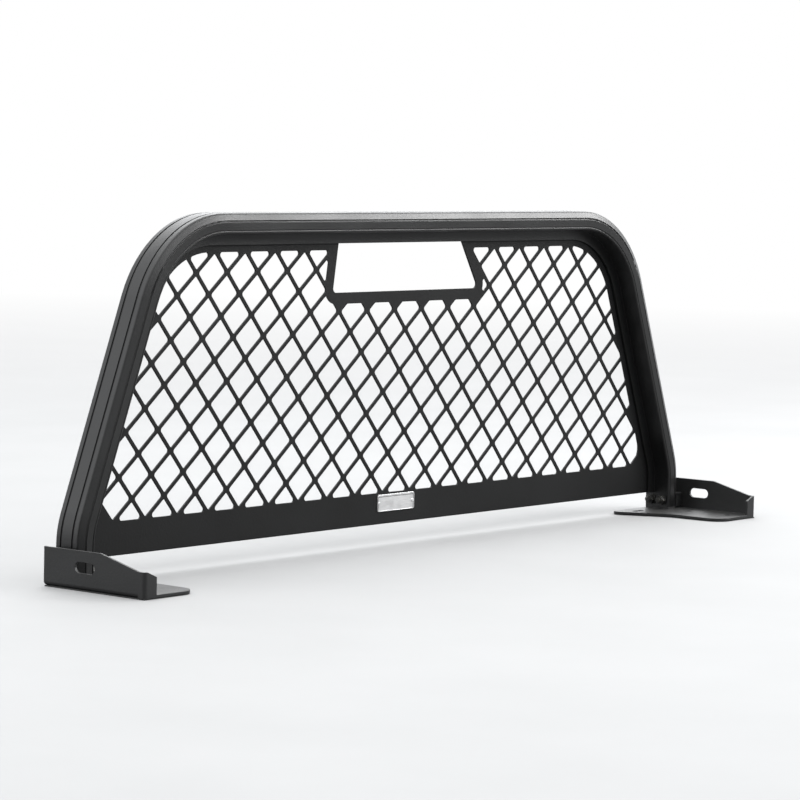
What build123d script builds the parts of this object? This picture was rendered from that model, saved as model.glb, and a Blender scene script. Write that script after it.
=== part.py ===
"""Headache rack for a full-size pickup: a bent hollow hoop with a cut-out mesh panel on two rail brackets.

Row frame in millimetres: X runs across the truck, +Y forward to the cab, +Z up. Z = 0 is the top of the
bed rail, X = 0 is the truck's centre line and Y = 0 is halfway along the brackets.
"""

from build123d import *
import math
import os

os.makedirs("parts", exist_ok=True)

# Overall size
overall_width = 1744.0
overall_height = 600.0
bracket_length = 223.0
front_y = bracket_length / 2
rear_y = -bracket_length / 2
wall_x = overall_width / 2

# Hoop: one bent hollow extrusion
tube_depth = 56.0
tube_width = 35.0
tube_wall = 4.2
bevel_width = 14.0
bevel_depth = 6.0
foot_x = 848.0
foot_z = 10.0
knee_z = 92.0
leg_lean = 20.8
knee_radius = 150.0
corner_radius = 208.0
groove_width = 3.8
groove_depth = 2.6
groove_from_front = 12.8
groove_spacing = 25.6
lip_width = 5.0
lip_groove_radius = 1.3
hoop_rear_y = front_y - tube_depth
fin_depth = 20.0
fin_thickness = 4.0
fin_rear_y = hoop_rear_y + 34.5
fin_front_y = fin_rear_y + fin_thickness

# Mesh panel behind the fin's front face, with a strip of gasket between
gasket_thickness = 1.0
panel_thickness = 3.0
panel_rear_y = fin_front_y + gasket_thickness
panel_front_y = panel_rear_y + panel_thickness
panel_gap = 1.5
panel_bottom_z = 38.0
lip_depth = 12.0
border_width = 67.0
border_top_z = 95.0
field_corner = 34.0

# Mesh: a sheared diamond lattice
pitch_x = 77.2
half_row = 36.95
row_shift = 6.9
strand = 6.2
cell_corner = 4.6
top_row_z = 499.0
row_count = 12
column_reach = 14

# Cut-out for the third brake light
window_top_z = 550.0
window_bottom_z = 458.0
window_top_xs = (-174.0, 173.0)
window_bottom_xs = (-188.0, 228.0)
window_corner = 8.0
window_rim = 20.0

# Panel fastenings
stud_count = 16
stud_radius = 3.0
stud_length = 13.5
panel_hole_radius = 3.5
washer_radius = 6.0
washer_thickness = 1.6
nut_across_flats = 10.0
nut_height = 5.0
nut_collar = 1.5

# Blank name plate
plate_width = 104.0
plate_height = 31.0
plate_thickness = 1.2
plate_z = 76.0
plate_rim = 1.6
rivet_x = 47.0
rivet_radius = 1.6
rivet_head_radius = 3.0

# Rail brackets
pad_thickness = 2.0
bracket_plate = 4.5
bend_outer = 7.0
wall_top_z = 65.0
wall_rear_z = 44.0
wall_flat_end_y = -14.0
return_width = 28.0
return_end_z = 35.0
flange_front_x = 690.0
flange_waist_x = 745.0
flange_rear_x = 748.0
flange_front_corner = 12.0
flange_waist_radius = 80.0
flange_rear_corner = 32.0
slot_length = 44.0
slot_height = 18.0
slot_y = 20.0
slot_z = 38.0
rail_hole_x = 822.0
rail_hole_ys = (-80.0, 10.0)
rail_hole_radius = 5.5
inner_slot_x = 742.0
inner_slot_y = 78.0
inner_slot_length = 34.0

# Leg fastenings
bolt_radius = 5.0
bolt_z = 24.0
bolt_y_offset = 12.5
tube_centre_y = hoop_rear_y + tube_depth / 2
leg_washer_radius = 10.0
leg_washer_thickness = 2.0
leg_nut_across_flats = 17.0
leg_nut_height = 8.0
leg_nut_collar = 2.0
bolt_end = 3.0
cap_plug = 4.0
insert_height = 40.0
spacer_height = 30.0
spacer_width = 46.0


def hoop_points(inset):
    """Knee and shoulder corners of the left half, the outline lying inset inside the hoop's outer face."""
    lean = math.radians(leg_lean)
    shift = inset * math.tan(lean / 2)
    knee = Vector(-foot_x + inset, knee_z - shift)
    top_z = overall_height - inset
    shoulder = Vector(knee.X + (top_z - knee.Y) * math.tan(lean), top_z)
    return knee, shoulder


def flip(point):
    """The same point on the other side of the truck's centre line."""
    return Vector(-point.X, point.Y)


def hoop_outline(inset, bottom_z):
    """Draw the open line up the left leg, over the top and down the right leg."""
    lean = math.radians(leg_lean)
    knee, shoulder = hoop_points(inset)
    up_leg = Vector(math.sin(lean), math.cos(lean))
    knee_tangent = (knee_radius - inset) * math.tan(lean / 2)
    corner_tangent = (corner_radius - inset) * math.tan((math.pi / 2 - lean) / 2)
    foot = Vector(knee.X, bottom_z)
    knee_start = Vector(knee.X, knee.Y - knee_tangent)
    knee_end = knee + up_leg * knee_tangent
    corner_start = shoulder - up_leg * corner_tangent
    corner_end = shoulder + Vector(corner_tangent, 0)
    Line(foot, knee_start)
    RadiusArc(knee_start, knee_end, knee_radius - inset)
    Line(knee_end, corner_start)
    RadiusArc(corner_start, corner_end, corner_radius - inset)
    Line(corner_end, flip(corner_end))
    RadiusArc(flip(corner_end), flip(corner_start), corner_radius - inset)
    Line(flip(corner_start), flip(knee_end))
    RadiusArc(flip(knee_end), flip(knee_start), knee_radius - inset)
    Line(flip(knee_start), flip(foot))


def upright(y):
    """A plane facing the cab side, at the given y, with local x = X and local y = Z."""
    return Plane(origin=(0, y, 0), x_dir=(1, 0, 0), z_dir=(0, -1, 0))


def tube_section(margin):
    """The hoop's section without its grooves, drawn margin inside: x inboard, y forward from its rear."""
    with BuildSketch() as section:
        Polygon(
            (0, bevel_depth),
            (bevel_width, 0),
            (tube_width, 0),
            (tube_width, tube_depth),
            (0, tube_depth),
            align=None,
        )
        fillet(section.vertices().group_by(Axis.X)[0], 4.5)
        fillet(section.vertices().group_by(Axis.X)[-1], 3.0)
        if margin:
            offset(amount=-margin, mode=Mode.REPLACE)
    return section.sketch


def leg_foot(side, z):
    """A level plane at the foot of a leg, its x inboard from the outer face and its y forward."""
    return Plane(origin=(side * foot_x, hoop_rear_y, z), x_dir=(-side, 0, 0), z_dir=(0, 0, -side))


def across_hole(side, start_x, length):
    """Cut the two stud holes through the current part, inboard from start_x."""
    start = Plane(origin=(side * start_x, tube_centre_y, bolt_z), x_dir=(0, 1, 0), z_dir=(-side, 0, 0))
    with BuildSketch(start) as holes:
        with Locations((bolt_y_offset, 0), (-bolt_y_offset, 0)):
            Circle(bolt_radius)
    extrude(holes.sketch, amount=length, mode=Mode.SUBTRACT)


def save(piece, name):
    piece.part.label = name
    export_step(piece.part, f"parts/{name}.step")


# --- Hoop frame -----------------------------------------------------------------------------------

with BuildLine() as hoop_path:
    hoop_outline(0, foot_z)
spine = hoop_path.line.rotate(Axis.X, 90)

with BuildPart() as hoop_frame:
    with BuildSketch(leg_foot(-1, foot_z)) as tube_profile:
        add(tube_section(0))
        # two grooves run along the outer face
        for from_front in (groove_from_front, groove_from_front + groove_spacing):
            with Locations((0, tube_depth - from_front)):
                SlotCenterToCenter(2 * groove_depth - groove_width + 0.01, groove_width, mode=Mode.SUBTRACT)
        # the rear face has a groove where the bevel ends and a fine one that sets off its inner lip
        with Locations((bevel_width, 0)):
            SlotCenterToCenter(0.6, groove_width, rotation=90, mode=Mode.SUBTRACT)
        with Locations((tube_width - lip_width, 0)):
            Circle(lip_groove_radius, mode=Mode.SUBTRACT)
        add(tube_section(tube_wall), mode=Mode.SUBTRACT)
        fin_y = fin_rear_y - hoop_rear_y + fin_thickness / 2
        with Locations((tube_width + fin_depth / 2 - 0.5, fin_y)):
            Rectangle(fin_depth + 1, fin_thickness)
    sweep(path=spine)
    # the fin stops with the panel, clear of the foot
    for side in (-1, 1):
        with Locations((side * (foot_x - tube_width - fin_depth / 2), fin_rear_y, foot_z)):
            Box(fin_depth, 4 * fin_thickness, 2 * (panel_bottom_z - foot_z), mode=Mode.SUBTRACT)
    # cross holes in the feet for the bracket studs
    for side in (-1, 1):
        across_hole(side, foot_x, tube_width)
save(hoop_frame, "hoop_frame")

# --- Mesh panel -----------------------------------------------------------------------------------

panel_inset = tube_width + panel_gap
stud_inset = tube_width + fin_depth / 2 - 1

with BuildLine() as stud_row:
    hoop_outline(stud_inset, panel_bottom_z + 2 * washer_radius)
stud_wire = stud_row.wires()[0]
stud_points = [stud_wire.position_at((i + 0.5) / stud_count) for i in range(stud_count)]


def rounded_cell(face):
    """Draw an opening in and out again, which rounds its corners."""
    with BuildSketch() as inner:
        add(face)
        offset(amount=-cell_corner, mode=Mode.REPLACE)
    with BuildSketch() as rounded:
        add(inner.sketch)
        offset(amount=cell_corner, kind=Kind.ARC, mode=Mode.REPLACE)
    return rounded.faces()


with BuildSketch() as mesh_field:
    with BuildLine():
        hoop_outline(border_width, panel_bottom_z)
        Line((-foot_x + border_width, panel_bottom_z), (foot_x - border_width, panel_bottom_z))
    make_face()
    with Locations((0, 0)):
        Rectangle(2 * foot_x, border_top_z, align=(Align.CENTER, Align.MIN), mode=Mode.SUBTRACT)
    # drawing the outline in and out again rounds its two lower corners
    offset(amount=-field_corner, mode=Mode.REPLACE)
    offset(amount=field_corner, kind=Kind.ARC, mode=Mode.REPLACE)

with BuildSketch() as window:
    Polygon(
        (window_top_xs[0], window_top_z),
        (window_top_xs[1], window_top_z),
        (window_bottom_xs[1], window_bottom_z),
        (window_bottom_xs[0], window_bottom_z),
        align=None,
    )
    fillet(window.vertices(), window_corner)

with BuildSketch() as window_area:
    add(window.sketch)
    offset(amount=window_rim, mode=Mode.REPLACE)

with BuildSketch() as diamond:
    Polygon(
        (-pitch_x / 2, 0),
        (row_shift, half_row),
        (pitch_x / 2, 0),
        (-row_shift, -half_row),
        align=None,
    )
    offset(amount=-strand / 2, kind=Kind.INTERSECTION, mode=Mode.REPLACE)

diamond_centres = [
    (pitch_x * (column + 0.5) + (pitch_x / 2 - row_shift) * row, top_row_z - half_row * row)
    for row in range(-1, row_count)
    for column in range(-column_reach, column_reach)
]

with BuildSketch() as lattice:
    with Locations(*[(x, z) for x, z in diamond_centres if abs(x) < foot_x]):
        add(diamond.sketch)
    add(mesh_field.sketch, mode=Mode.INTERSECT)
    add(window_area.sketch, mode=Mode.SUBTRACT)

# an opening too slim for its round corners is left solid
cells = []
for opening in lattice.faces():
    inner_radius = 2 * opening.area / opening.outer_wire().length
    if inner_radius > 1.2 * cell_corner:
        cells += rounded_cell(opening)

with BuildPart() as mesh_panel:
    with BuildSketch(upright(panel_rear_y)) as sheet:
        with BuildLine():
            hoop_outline(panel_inset, panel_bottom_z)
            Line((-foot_x + panel_inset, panel_bottom_z), (foot_x - panel_inset, panel_bottom_z))
        make_face()
        add(window.sketch, mode=Mode.SUBTRACT)
        add(cells, mode=Mode.SUBTRACT)
        with Locations(*[(point.X, point.Y) for point in stud_points]):
            Circle(panel_hole_radius, mode=Mode.SUBTRACT)
        with Locations((-rivet_x, plate_z), (rivet_x, plate_z)):
            Circle(rivet_radius, mode=Mode.SUBTRACT)
    extrude(amount=-panel_thickness)
    # the lower edge is folded forward to stiffen it
    lip_half = foot_x - tube_width - fin_depth
    with Locations((0, panel_rear_y, panel_bottom_z)):
        Box(2 * lip_half, lip_depth + panel_thickness, panel_thickness, align=(Align.CENTER, Align.MIN, Align.MIN))
    fold = mesh_panel.edges().filter_by(Axis.X).group_by(Axis.Z)[0].group_by(Axis.Y)[0]
    fillet(fold, panel_thickness - 0.4)
save(mesh_panel, "mesh_panel")

with BuildPart() as panel_gasket:
    with BuildSketch(upright(fin_front_y)) as gasket_shape:
        with BuildLine():
            hoop_outline(tube_width + 2, panel_bottom_z + 2)
            inner_x = foot_x - tube_width - fin_depth + 2
            Line((-foot_x + tube_width + 2, panel_bottom_z + 2), (-inner_x, panel_bottom_z + 2))
            hoop_outline(tube_width + fin_depth - 2, panel_bottom_z + 2)
            Line((inner_x, panel_bottom_z + 2), (foot_x - tube_width - 2, panel_bottom_z + 2))
        make_face()
        with Locations(*[(point.X, point.Y) for point in stud_points]):
            Circle(stud_radius, mode=Mode.SUBTRACT)
    extrude(amount=-gasket_thickness)
save(panel_gasket, "panel_gasket")

# --- Panel fastenings -----------------------------------------------------------------------------


def nut(across_flats, bore, height, collar):
    """A lock nut standing on the current plane: a chamfered hexagon with a round collar."""
    with BuildPart() as made:
        with BuildSketch():
            RegularPolygon(across_flats / 2, 6, major_radius=False)
        extrude(amount=height)
        chamfer(made.edges().group_by(Axis.Z)[0], 0.06 * across_flats)
        with BuildSketch(Plane.XY.offset(height)):
            Circle(0.43 * across_flats)
        extrude(amount=collar)
        fillet(made.edges().group_by(Axis.Z)[-1], 0.5 * collar)
        Hole(bore)
    return made.part


def toward_cab(point, y):
    """A place on the panel, at the given y, with its local Z pointing forward."""
    return Plane(origin=(point.X, y, point.Y), x_dir=(1, 0, 0), z_dir=(0, 1, 0)).location


def copies(shape, places):
    """One compound with a copy of the shape at every place."""
    with BuildPart() as group:
        with Locations(*places):
            add(shape)
    return group


with BuildPart() as stud:
    Cylinder(stud_radius, stud_length, align=(Align.CENTER, Align.CENTER, Align.MIN))
    chamfer(stud.edges().group_by(Axis.Z)[-1], 0.6)

with BuildPart() as washer:
    Cylinder(washer_radius, washer_thickness, align=(Align.CENTER, Align.CENTER, Align.MIN))
    Hole(stud_radius)

lock_nut = nut(nut_across_flats, stud_radius, nut_height, nut_collar)
nut_y = panel_front_y + washer_thickness

panel_studs = copies(stud.part, [toward_cab(point, fin_front_y) for point in stud_points])
save(panel_studs, "panel_studs")

panel_washers = copies(washer.part, [toward_cab(point, panel_front_y) for point in stud_points])
save(panel_washers, "panel_washers")

panel_lock_nuts = copies(lock_nut, [toward_cab(point, nut_y) for point in stud_points])
save(panel_lock_nuts, "panel_lock_nuts")

# --- Blank name plate -----------------------------------------------------------------------------

with BuildPart() as nameplate:
    with BuildSketch(upright(panel_rear_y)):
        with Locations((0, plate_z)):
            RectangleRounded(plate_width, plate_height, 4)
        with Locations((-rivet_x, plate_z), (rivet_x, plate_z)):
            Circle(rivet_radius, mode=Mode.SUBTRACT)
    extrude(amount=plate_thickness)
    with BuildSketch(upright(panel_rear_y - plate_thickness)):
        with Locations((0, plate_z)):
            RectangleRounded(plate_width - 0.6, plate_height - 0.6, 3.7)
            RectangleRounded(
                plate_width - 2 * plate_rim, plate_height - 2 * plate_rim, 2.8, mode=Mode.SUBTRACT
            )
    extrude(amount=0.5)
save(nameplate, "nameplate")

with BuildPart() as rivet:
    Cylinder(rivet_radius, plate_thickness + panel_thickness, align=(Align.CENTER, Align.CENTER, Align.MIN))
    with Locations((0, 0, plate_thickness + panel_thickness)):
        Cylinder(rivet_head_radius, 1.0, align=(Align.CENTER, Align.CENTER, Align.MIN))
    fillet(rivet.edges().group_by(Axis.Z)[-1], 0.7)

rivet_places = [
    Plane(origin=(x, panel_front_y, plate_z), x_dir=(1, 0, 0), z_dir=(0, -1, 0)).location
    for x in (-rivet_x, rivet_x)
]
nameplate_rivets = copies(rivet.part, rivet_places)
save(nameplate_rivets, "nameplate_rivets")

# --- Rail brackets, pads and leg fastenings, left and right ---------------------------------------

flange_top_z = pad_thickness + bracket_plate
bolt_ys = (tube_centre_y - bolt_y_offset, tube_centre_y + bolt_y_offset)
rail_places = [(rail_hole_x, y) for y in rail_hole_ys]


def flange_plan(side, margin):
    """The base flange seen from above, drawn margin inside: widest at the front, with a waist behind it."""
    with BuildSketch() as plan:
        Polygon(
            (side * wall_x, front_y),
            (side * flange_front_x, front_y),
            (side * flange_waist_x, 0),
            (side * flange_rear_x, rear_y),
            (side * wall_x, rear_y),
            align=None,
        )
        inboard = plan.vertices().sort_by(lambda corner: abs(corner.X))
        fillet(inboard[0:1], flange_front_corner)
        inboard = plan.vertices().sort_by_distance((side * flange_waist_x, 0, 0))
        fillet(inboard[0:1], flange_waist_radius)
        inboard = plan.vertices().sort_by_distance((side * flange_rear_x, rear_y, 0))
        fillet(inboard[0:1], flange_rear_corner)
        if margin:
            offset(amount=-margin, mode=Mode.REPLACE)
    return plan.sketch


def rail_holes(side, clearance):
    """The holes for the truck's own bolts, and the slot for a clamp in the wide end."""
    with Locations(*[(side * x, y) for x, y in rail_places]):
        Circle(rail_hole_radius + clearance, mode=Mode.SUBTRACT)
    with Locations((side * inner_slot_x, inner_slot_y)):
        SlotOverall(inner_slot_length + 2 * clearance, 2 * (rail_hole_radius + clearance), mode=Mode.SUBTRACT)


def rear_corner(side, mode):
    """The plan of the wall's end, where it folds round into the short return."""
    with Locations((side * (wall_x - return_width / 2), rear_y + bracket_plate / 2)):
        Rectangle(return_width, bracket_plate, mode=mode)
    with Locations((side * (wall_x - bracket_plate / 2), rear_y + bend_outer)):
        Rectangle(bracket_plate, 2 * bend_outer, mode=mode)


def foot_bracket(side):
    """A folded plate: base flange, outboard wall with a slot, and a short return at the rear."""
    wall_inner_x = min(side * wall_x, side * (wall_x - bracket_plate))
    with BuildPart() as made:
        with BuildSketch(Plane.XY.offset(pad_thickness)):
            add(flange_plan(side, 0))
            rail_holes(side, 0)
            rear_corner(side, Mode.SUBTRACT)
        extrude(amount=bracket_plate)
        inner_face = Plane(origin=(wall_inner_x, 0, 0), x_dir=(0, 1, 0), z_dir=(1, 0, 0))
        with BuildSketch(inner_face):
            Polygon(
                (front_y, pad_thickness),
                (front_y, wall_top_z),
                (wall_flat_end_y, wall_top_z),
                (rear_y + 2 * bend_outer, wall_rear_z),
                (rear_y + 2 * bend_outer, pad_thickness),
                align=None,
            )
            with Locations((slot_y, slot_z)):
                SlotOverall(slot_length, slot_height, mode=Mode.SUBTRACT)
        extrude(amount=bracket_plate)
        lower_edges = made.edges().filter_by(Axis.Y).group_by(Axis.Z)[0]
        fillet(lower_edges.sort_by(lambda edge: side * edge.center().X)[-1], bend_outer)
        with BuildSketch(Plane.XY.offset(pad_thickness)) as corner:
            rear_corner(side, Mode.ADD)
            outer = corner.vertices().sort_by_distance((side * wall_x, rear_y, 0))
            fillet(outer[0:1], bend_outer)
        extrude(amount=wall_rear_z - pad_thickness)
        # the sloping top edge carries on down round the return
        with BuildSketch(upright(rear_y)):
            Polygon(
                (side * (wall_x - bend_outer), wall_rear_z),
                (side * (wall_x - return_width), wall_rear_z),
                (side * (wall_x - return_width), return_end_z),
                align=None,
            )
        extrude(amount=-bracket_plate, mode=Mode.SUBTRACT)
    return made


def foot_pad(side):
    """The rubber pad between the bracket and the bed rail."""
    with BuildPart() as made:
        with BuildSketch():
            add(flange_plan(side, 1))
            rail_holes(side, 1)
        extrude(amount=pad_thickness)
        outboard = made.edges().filter_by(Axis.Y).sort_by(lambda edge: side * edge.center().X)
        chamfer(outboard[-1], 0.8)
    return made


def leg_end_cap(side):
    """The moulded cap that closes the hollow foot and keeps the metal off the bracket."""
    with BuildPart() as made:
        with BuildSketch(leg_foot(side, flange_top_z)):
            add(tube_section(0))
        extrude(amount=-side * (foot_z - flange_top_z))
        with BuildSketch(leg_foot(side, foot_z)):
            add(tube_section(tube_wall))
        extrude(amount=-side * cap_plug)
    return made


def leg_insert(side):
    """The solid block inside the hollow foot, which takes the clamping load of the studs."""
    with BuildPart() as made:
        with BuildSketch(leg_foot(side, foot_z + cap_plug)):
            add(tube_section(tube_wall))
        extrude(amount=-side * insert_height)
        across_hole(side, foot_x, tube_width)
    return made


def wall_spacer(side):
    """The block between the leg and the bracket's outboard wall."""
    spacer_thickness = wall_x - bracket_plate - foot_x
    with BuildPart() as made:
        with Locations((side * (foot_x + spacer_thickness / 2), tube_centre_y, flange_top_z)):
            Box(
                spacer_thickness,
                spacer_width,
                spacer_height,
                align=(Align.CENTER, Align.CENTER, Align.MIN),
            )
        fillet(made.edges().filter_by(Axis.X), 3)
        across_hole(side, foot_x + spacer_thickness, spacer_thickness)
    return made


def outboard(side, x):
    """The two stud places at the given x, with local Z pointing inboard."""
    return [
        Plane(origin=(side * x, y, bolt_z), x_dir=(0, 1, 0), z_dir=(-side, 0, 0)).location for y in bolt_ys
    ]


washer_x = foot_x - tube_width
leg_nut_x = washer_x - leg_washer_thickness
bolt_length = wall_x - bracket_plate - leg_nut_x + leg_nut_height + leg_nut_collar + bolt_end

with BuildPart() as bracket_stud:
    Cylinder(bolt_radius, bolt_length, align=(Align.CENTER, Align.CENTER, Align.MIN))
    chamfer(bracket_stud.edges().group_by(Axis.Z)[-1], 1)

with BuildPart() as leg_washer:
    Cylinder(leg_washer_radius, leg_washer_thickness, align=(Align.CENTER, Align.CENTER, Align.MIN))
    chamfer(leg_washer.edges().group_by(Axis.Z)[-1], 0.4)
    Hole(bolt_radius)

leg_nut = nut(leg_nut_across_flats, bolt_radius, leg_nut_height, leg_nut_collar)

for side_name, side in (("left", -1), ("right", 1)):
    save(foot_bracket(side), f"foot_bracket_{side_name}")
    save(foot_pad(side), f"foot_pad_{side_name}")
    save(leg_end_cap(side), f"leg_end_cap_{side_name}")
    save(leg_insert(side), f"leg_insert_{side_name}")
    save(wall_spacer(side), f"wall_spacer_{side_name}")
    stud_places = outboard(side, wall_x - bracket_plate)
    save(copies(bracket_stud.part, stud_places), f"bracket_studs_{side_name}")
    save(copies(leg_washer.part, outboard(side, washer_x)), f"leg_washers_{side_name}")
    save(copies(leg_nut, outboard(side, leg_nut_x)), f"leg_lock_nuts_{side_name}")
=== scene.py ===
"""A black pickup headache rack: bent extruded hoop, cut-out mesh panel and two folded rail brackets.

Metres, in the CAD frame: +X to the truck's right, +Y toward the cab, +Z up, the brackets' pads on Z = 0.
The CAD nodes are the visible pieces. This script gives them their finishes, and adds the studio.
"""

import math

import bpy
from mathutils import Matrix, Vector

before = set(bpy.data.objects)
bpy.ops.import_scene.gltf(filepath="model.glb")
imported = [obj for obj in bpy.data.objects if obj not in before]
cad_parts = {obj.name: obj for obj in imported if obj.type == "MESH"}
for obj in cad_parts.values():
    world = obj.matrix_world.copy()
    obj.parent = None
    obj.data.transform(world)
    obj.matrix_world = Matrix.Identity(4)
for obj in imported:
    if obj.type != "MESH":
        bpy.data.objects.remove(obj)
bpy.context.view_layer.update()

# --- Sizes and places -----------------------------------------------------------------------------

MM = 0.001
SIDES = ("left", "right")

PANEL_STUD_PITCH = 1.0 * MM
LEG_STUD_PITCH = 1.25 * MM
# the frame line etched on the name plate runs inside this rectangle, which lies 2 mm low on the plate
ETCHED_CENTRE = Vector((0.0, 0.0, 74.0 * MM))
ETCHED_HALF_WIDTH = 52.0 * MM
ETCHED_HALF_HEIGHT = 16.0 * MM
ETCHED_INSET = 2.6 * MM
ETCHED_WIDTH = 0.9 * MM

FLOOR_SIZE = 80.0
FLOOR_FADE_START = 2.6
FLOOR_FADE_END = 9.0

CAMERA_PLACE = Vector((-4.62, -3.66, 0.736))
CAMERA_TARGET = Vector((-0.011, 0.081, 0.262))
CAMERA_ROLL = math.radians(1.35)
# in millimetres, as Blender takes them
CAMERA_LENS = 149.0
CAMERA_SENSOR = 36.0

# a glow's direction, the cosines where it is full and where it ends, and its brightness
SKY_GLOWS = (
    ((0.0, 0.0, 1.0), 0.9, 0.1, 1.6),  # overhead
    ((-0.8, 0.58, 0.08), 0.97, 0.55, 1.5),  # left front, mirrored by the hoop's left outer face
    ((0.15, -0.97, 0.15), 0.97, 0.6, 0.5),  # straight behind
    ((0.75, -0.65, 0.08), 0.97, 0.85, 0.45),  # right rear, mirrored by the rear faces
    ((0.75, 0.62, 0.22), 0.98, 0.6, 3.2),  # right front, mirrored by the flanges' tops
)
SKY_BASE = 0.08
# a light's name, place, target, width and height, and watts
AREA_LIGHTS = (
    ("bevel_panel", (3.7, -2.3, 2.4), (0, 0, 0.5), (3.4, 1.3), 165),
    ("rear_panel", (1.7, -4.3, 2.3), (-0.6, 0, 0.5), (2.2, 1.1), 35),
    ("top_panel", (-1.2, 0.6, 4.2), (0, 0, 0.3), (3.0, 2.4), 55),
)

# --- Colours --------------------------------------------------------------------------------------


def grey(level, warmth=0.0):
    return (level * (1 + warmth), level, level * (1 - warmth), 1.0)


WHITE = (1.0, 1.0, 1.0, 1.0)
SKY_TINT = (0.97, 0.985, 1.0, 1.0)
FLOOR_TONES = (grey(0.37), grey(0.41))
DARK_BED = grey(0.16)
CHIPPED_METAL = grey(0.42, 0.02)
BRUSHED_TONES = (grey(0.84), grey(0.95))
ETCHED_BLACK = grey(0.02)
ZINC_TONES = ((0.56, 0.57, 0.6, 1.0), (0.66, 0.62, 0.5, 1.0))
BLACK_ZINC_TONES = ((0.03, 0.03, 0.032, 1.0), (0.05, 0.048, 0.04, 1.0))
RUBBED_METAL = grey(0.3)
MILLED_TONES = (grey(0.6), grey(0.74))

# a noise's values gather round 0.5, so a finish spreads one of these bands over its full range
WIDE_BAND = (0.3, 0.7)
NARROW_BAND = (0.35, 0.65)

# --- Node helpers ---------------------------------------------------------------------------------

# a Mix node keeps a set of sockets for each type it can blend, and these are the ones for colours
MIX_FACTOR, MIX_FIRST, MIX_SECOND, MIX_RESULT = 0, 6, 7, 2
# both shaders of a Mix Shader node have the same name
SHADER_FIRST, SHADER_SECOND = 1, 2


class Nodes:
    """A node tree, with one call for each kind of node that the finishes and the studio share."""

    def __init__(self, tree):
        self.tree = tree

    def add(self, kind, settings=None, inputs=None):
        node = self.tree.nodes.new(kind)
        for name, value in (settings or {}).items():
            setattr(node, name, value)
        for name, value in (inputs or {}).items():
            self.feed(node.inputs[name], value)
        return node

    def feed(self, socket, value):
        """Link a socket to another node's output, or set it to a plain value."""
        if isinstance(value, bpy.types.NodeSocket):
            self.tree.links.new(value, socket)
        else:
            socket.default_value = value

    def calculate(self, operation, first, second=0.0):
        node = self.add("ShaderNodeMath", {"operation": operation}, {0: first, 1: second})
        return node.outputs["Value"]

    def multiply(self, first, second):
        return self.calculate("MULTIPLY", first, second)

    def vector(self, operation, first, second=(0.0, 0.0, 0.0)):
        return self.add("ShaderNodeVectorMath", {"operation": operation}, {0: first, 1: second}).outputs

    def split(self, vector):
        """The X, Y and Z outputs of a vector."""
        return self.add("ShaderNodeSeparateXYZ", inputs={"Vector": vector}).outputs

    def spread(self, value, low, high, to_low=0.0, to_high=1.0, interpolation="LINEAR"):
        """Map low..high to to_low..to_high, held at both ends."""
        settings = {"clamp": True, "interpolation_type": interpolation}
        inputs = {"Value": value, "From Min": low, "From Max": high, "To Min": to_low, "To Max": to_high}
        return self.add("ShaderNodeMapRange", settings, inputs).outputs["Result"]

    def mix(self, factor, first, second):
        """Blend two colours."""
        inputs = {MIX_FACTOR: factor, MIX_FIRST: first, MIX_SECOND: second}
        return self.add("ShaderNodeMix", {"data_type": "RGBA"}, inputs).outputs[MIX_RESULT]

    def seen_by_camera(self):
        """1 for what the camera sees directly, 0 for the light thrown on other surfaces."""
        return self.add("ShaderNodeLightPath").outputs["Is Camera Ray"]

    def end_with(self, output, factor, first, second):
        """Blend two shaders and send them to the tree's output node."""
        inputs = {"Fac": factor, SHADER_FIRST: first, SHADER_SECOND: second}
        blend = self.add("ShaderNodeMixShader", inputs=inputs).outputs["Shader"]
        self.feed(self.tree.nodes[output].inputs["Surface"], blend)


class Shader(Nodes):
    """A material's nodes, which place their patterns by the object's own coordinates."""

    def __init__(self, name):
        self.material = bpy.data.materials.new(name)
        self.material.use_nodes = True
        super().__init__(self.material.node_tree)
        self.surface = self.tree.nodes["Principled BSDF"]
        self.place = self.add("ShaderNodeTexCoord").outputs["Object"]

    def noise(self, per_metre, detail=2.0, roughness=0.5, stretch=None):
        """Noise with this many features to the metre, or with the stretch's number along each axis."""
        place = self.place
        if stretch:
            mapping = self.add("ShaderNodeMapping", inputs={"Vector": place, "Scale": stretch})
            place = mapping.outputs["Vector"]
        inputs = {"Vector": place, "Scale": per_metre, "Detail": detail, "Roughness": roughness}
        return self.add("ShaderNodeTexNoise", inputs=inputs).outputs["Fac"]

    def bump(self, height, distance, normal):
        inputs = {"Height": height, "Distance": distance, "Normal": normal}
        return self.add("ShaderNodeBump", inputs=inputs).outputs["Normal"]

    def thread(self, axis, pitch):
        """A screw thread's ridges along one axis."""
        angle = self.multiply(self.split(self.place)[axis], math.tau / pitch)
        return self.calculate("SINE", angle)

    def face_normal(self):
        return self.add("ShaderNodeNewGeometry").outputs["Normal"]

    def soft_edges(self, radius):
        """The surface normal with every sharp edge rounded over to the radius."""
        return self.add("ShaderNodeBevel", {"samples": 6}, {"Radius": radius}).outputs["Normal"]

    def edge_mask(self, radius):
        """0 on flat faces, rising toward 1 at the edges."""
        bend = self.vector("DOT_PRODUCT", self.soft_edges(radius), self.face_normal())["Value"]
        return self.spread(bend, 0.98, 0.75)

    def facing_up(self):
        """1 on faces turned to the sky, 0 on walls and undersides."""
        return self.spread(self.split(self.face_normal())["Z"], 0.35, 1.0)

    def finish(self, color, roughness, normal=None, metallic=0.0, specular=0.5):
        inputs = {"Base Color": color, "Roughness": roughness, "Metallic": metallic}
        inputs["Specular IOR Level"] = specular
        if normal is not None:
            inputs["Normal"] = normal
        for name, value in inputs.items():
            self.feed(self.surface.inputs[name], value)
        return self.material


# --- Finishes -------------------------------------------------------------------------------------


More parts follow.
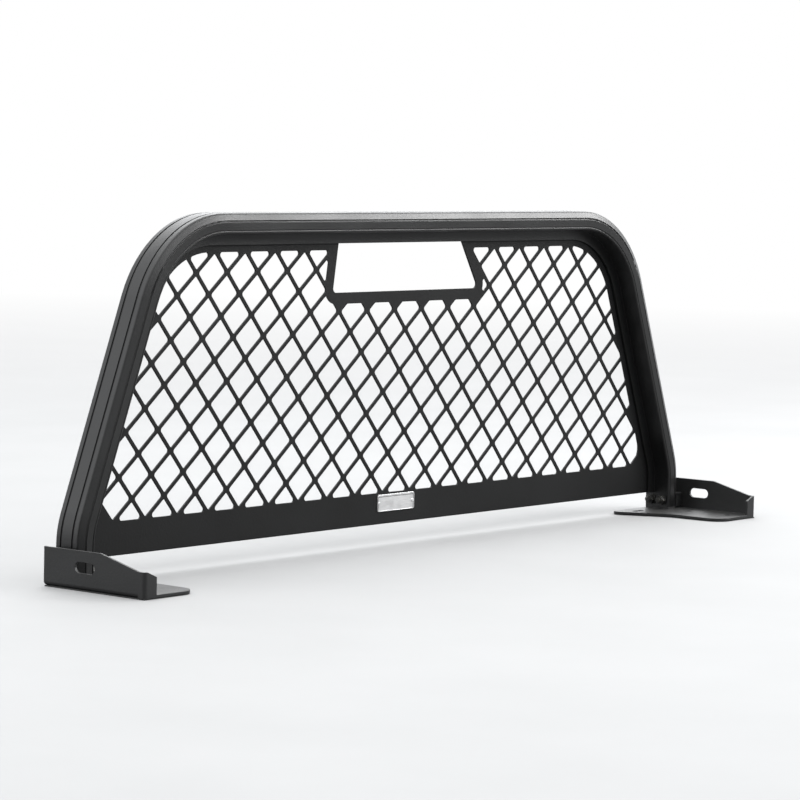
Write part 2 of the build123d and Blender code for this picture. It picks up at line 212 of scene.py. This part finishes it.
def powder_coat(name, base, roughness, grain=1.0, wear=0.0, edge_radius=0.9 * MM, specular=0.5):
    """Satin black powder coat: orange peel, fine texture, dust on top, and bare metal where it wears."""
    shader = Shader(name)
    peel = shader.noise(240.0, detail=3.0)
    texture = shader.noise(1500.0)
    blotches = shader.noise(7.0, detail=4.0)
    specks = shader.noise(38.0, detail=6.0, roughness=0.7)
    dust = shader.multiply(shader.facing_up(), shader.spread(specks, 0.35, 0.75, 0.05, 0.55))
    coat = shader.mix(shader.spread(blotches, *WIDE_BAND), grey(base), grey(base * 1.35, -0.03))
    color = shader.mix(dust, coat, grey(base * 3.2 + 0.03, 0.05))
    patchy = shader.spread(blotches, 0.25, 0.75, roughness - 0.04, roughness + 0.06)
    dulled = shader.calculate("ADD", patchy, shader.multiply(dust, 0.18))
    worn = 0.0
    if wear:
        chips = shader.spread(shader.noise(420.0, detail=5.0, roughness=0.75), 0.62, 0.66)
        worn = shader.multiply(shader.multiply(shader.edge_mask(1.6 * MM), chips), wear)
        color = shader.mix(worn, color, CHIPPED_METAL)
    normal = shader.bump(peel, 0.16 * MM * grain, shader.soft_edges(edge_radius))
    normal = shader.bump(texture, 0.05 * MM * grain, normal)
    return shader.finish(color, dulled, normal, metallic=worn, specular=specular)


def etched_line(shader):
    """1 along the name plate's thin frame line, 0 elsewhere."""
    offset = shader.split(shader.vector("SUBTRACT", shader.place, ETCHED_CENTRE)["Vector"])
    to_side = shader.calculate("SUBTRACT", ETCHED_HALF_WIDTH, shader.calculate("ABSOLUTE", offset["X"]))
    to_top = shader.calculate("SUBTRACT", ETCHED_HALF_HEIGHT, shader.calculate("ABSOLUTE", offset["Z"]))
    from_edge = shader.calculate("MINIMUM", to_side, to_top)
    away = shader.calculate("ABSOLUTE", shader.calculate("SUBTRACT", from_edge, ETCHED_INSET))
    return shader.spread(away, ETCHED_WIDTH * 0.4, ETCHED_WIDTH * 0.6, 1.0, 0.0)


def brushed_plate(name, etched=False):
    """Brushed, clear-anodised aluminium with its grain along X, and an etched frame line if asked for."""
    shader = Shader(name)
    grain = shader.noise(1.0, detail=3.0, stretch=(60.0, 5200.0, 5200.0))
    smudge = shader.noise(90.0, detail=4.0)
    color = shader.mix(shader.spread(grain, *WIDE_BAND), *BRUSHED_TONES)
    if etched:
        color = shader.mix(etched_line(shader), color, ETCHED_BLACK)
    roughness = shader.spread(smudge, *WIDE_BAND, 0.34, 0.48)
    normal = shader.bump(grain, 0.02 * MM, shader.soft_edges(0.3 * MM))
    return shader.finish(color, roughness, normal, metallic=1.0)


def plated_normal(shader, thread_axis, pitch, depth):
    """Plated steel's fine grain, with a thread over it if an axis is given."""
    fine = shader.noise(2200.0)
    normal = shader.bump(fine, 0.015 * MM, shader.soft_edges(0.35 * MM))
    if thread_axis:
        normal = shader.bump(shader.thread(thread_axis, pitch), depth, normal)
    return normal


def zinc(name, thread_axis=None):
    """Zinc-plated steel: cool grey with a patchy passivated tint."""
    shader = Shader(name)
    patches = shader.noise(160.0, detail=4.0)
    color = shader.mix(shader.spread(patches, *NARROW_BAND), *ZINC_TONES)
    roughness = shader.spread(patches, *WIDE_BAND, 0.26, 0.42)
    normal = plated_normal(shader, thread_axis, PANEL_STUD_PITCH, depth=0.12 * MM)
    return shader.finish(color, roughness, normal, metallic=1.0)


def black_zinc(name, thread_axis=None):
    """Black-passivated zinc on the leg hardware, with a faint olive tint and rubbed edges."""
    shader = Shader(name)
    patches = shader.noise(190.0, detail=4.0)
    color = shader.mix(shader.spread(patches, *NARROW_BAND), *BLACK_ZINC_TONES)
    patchy = shader.spread(patches, 0.4, 0.6, 0.1, 0.8)
    rubbed = shader.multiply(shader.edge_mask(0.8 * MM), patchy)
    color = shader.mix(rubbed, color, RUBBED_METAL)
    roughness = shader.spread(patches, *WIDE_BAND, 0.34, 0.5)
    normal = plated_normal(shader, thread_axis, LEG_STUD_PITCH, depth=0.15 * MM)
    return shader.finish(color, roughness, normal, metallic=0.6)


def rubber(name, base):
    """Matt black rubber or nylon with a fine grain and a pale bloom in patches."""
    shader = Shader(name)
    fine = shader.noise(1100.0, detail=4.0)
    bloom = shader.noise(25.0, detail=5.0)
    color = shader.mix(shader.spread(bloom, 0.45, 0.75), grey(base), grey(base * 1.9))
    roughness = shader.spread(bloom, *WIDE_BAND, 0.72, 0.88)
    normal = shader.bump(fine, 0.08 * MM, shader.soft_edges(0.6 * MM))
    return shader.finish(color, roughness, normal)


def milled_aluminium(name):
    """Bare cut aluminium, with saw lines across it."""
    shader = Shader(name)
    lines = shader.noise(1.0, stretch=(90.0, 90.0, 3000.0))
    color = shader.mix(shader.spread(lines, *WIDE_BAND), *MILLED_TONES)
    normal = shader.bump(lines, 0.03 * MM, shader.soft_edges(0.4 * MM))
    return shader.finish(color, roughness=0.38, normal=normal, metallic=1.0)


def dress(material, *names):
    """Give CAD nodes their finish."""
    for name in names:
        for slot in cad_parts[name].material_slots:
            slot.material = material


def both(name):
    return [f"{name}_{side}" for side in SIDES]


hoop_coat = powder_coat("hoop_powder_coat", base=0.007, roughness=0.35)
panel_coat = powder_coat(
    "panel_powder_coat", base=0.008, roughness=0.44, grain=1.2, edge_radius=0.7 * MM, specular=0.22
)
bracket_coat = powder_coat("bracket_powder_coat", base=0.015, roughness=0.42, grain=1.3, wear=0.7)
spacer_coat = powder_coat("spacer_powder_coat", base=0.010, roughness=0.5)
plate_metal = brushed_plate("nameplate_aluminium", etched=True)
rivet_metal = brushed_plate("rivet_aluminium")
fastener_zinc = zinc("zinc_plate")
stud_zinc = zinc("zinc_thread", thread_axis="Y")
fastener_black = black_zinc("black_zinc_plate")
stud_black = black_zinc("black_zinc_thread", thread_axis="X")
black_rubber = rubber("black_rubber", base=0.022)
black_nylon = rubber("black_nylon", base=0.03)
bare_metal = milled_aluminium("milled_aluminium")

dress(hoop_coat, "hoop_frame")
dress(panel_coat, "mesh_panel")
dress(bracket_coat, *both("foot_bracket"))
dress(spacer_coat, *both("wall_spacer"))
dress(plate_metal, "nameplate")
dress(rivet_metal, "nameplate_rivets")
dress(fastener_zinc, "panel_washers", "panel_lock_nuts")
dress(stud_zinc, "panel_studs")
dress(fastener_black, *both("leg_washers"), *both("leg_lock_nuts"))
dress(stud_black, *both("bracket_studs"))
dress(black_rubber, "panel_gasket", *both("foot_pad"))
dress(black_nylon, *both("leg_end_cap"))
dress(bare_metal, *both("leg_insert"))

# --- Studio ---------------------------------------------------------------------------------------


def studio_floor():
    """A pale seamless floor, which turns as white as the backdrop further out."""
    bpy.ops.mesh.primitive_plane_add(size=FLOOR_SIZE)
    floor = bpy.context.object
    floor.name = "studio_floor"
    shader = Shader("studio_floor")
    # only the camera sees the floor this pale: the rack is lit as if it stood over a darker truck bed
    seen = shader.seen_by_camera()
    pale = shader.mix(shader.noise(3.0, detail=4.0), *FLOOR_TONES)
    shader.finish(shader.mix(seen, DARK_BED, pale), roughness=0.8, specular=0.1)
    from_rack = shader.vector("LENGTH", shader.place)["Value"]
    fade = shader.spread(from_rack, FLOOR_FADE_START, FLOOR_FADE_END)
    white = shader.add("ShaderNodeEmission", inputs={"Color": WHITE}).outputs["Emission"]
    bare = shader.surface.outputs["BSDF"]
    shader.end_with("Material Output", shader.multiply(fade, seen), bare, white)
    floor.data.materials.append(shader.material)


def studio_world():
    """A white backdrop for the camera, and soft glows round the sky as light on the rack."""
    world = bpy.data.worlds.new("studio")
    world.use_nodes = True
    sky = Nodes(world.node_tree)
    place = sky.add("ShaderNodeTexCoord").outputs["Generated"]
    strength = SKY_BASE
    for direction, full, end, brightness in SKY_GLOWS:
        toward = sky.vector("DOT_PRODUCT", place, Vector(direction).normalized())["Value"]
        glow = sky.spread(toward, end, full, to_high=brightness, interpolation="SMOOTHSTEP")
        strength = sky.calculate("ADD", glow, strength)
    light = sky.add("ShaderNodeBackground", inputs={"Color": SKY_TINT, "Strength": strength})
    backdrop = sky.add("ShaderNodeBackground", inputs={"Color": WHITE})
    shaders = light.outputs["Background"], backdrop.outputs["Background"]
    sky.end_with("World Output", sky.seen_by_camera(), *shaders)
    bpy.context.scene.world = world
    # this transform shows white as white
    bpy.context.scene.view_settings.view_transform = "Standard"


def area_light(name, place, target, size, power):
    light = bpy.data.lights.new(name, "AREA")
    light.shape = "RECTANGLE"
    light.size, light.size_y = size
    light.energy = power
    lamp = bpy.data.objects.new(name, light)
    bpy.context.scene.collection.objects.link(lamp)
    lamp.location = place
    lamp.rotation_euler = (Vector(target) - Vector(place)).to_track_quat("-Z", "Y").to_euler()


def photo_camera():
    """Stand where the photographer stood, turned to the rack and zoomed in on it."""
    data = bpy.data.cameras.new("camera")
    data.lens = CAMERA_LENS
    data.sensor_width = CAMERA_SENSOR
    camera = bpy.data.objects.new("camera", data)
    bpy.context.scene.collection.objects.link(camera)
    aim = (CAMERA_TARGET - CAMERA_PLACE).to_track_quat("-Z", "Y").to_matrix().to_4x4()
    camera.matrix_world = Matrix.Translation(CAMERA_PLACE) @ aim @ Matrix.Rotation(CAMERA_ROLL, 4, "Z")
    bpy.context.scene.camera = camera


studio_floor()
studio_world()
for settings in AREA_LIGHTS:
    area_light(*settings)
photo_camera()
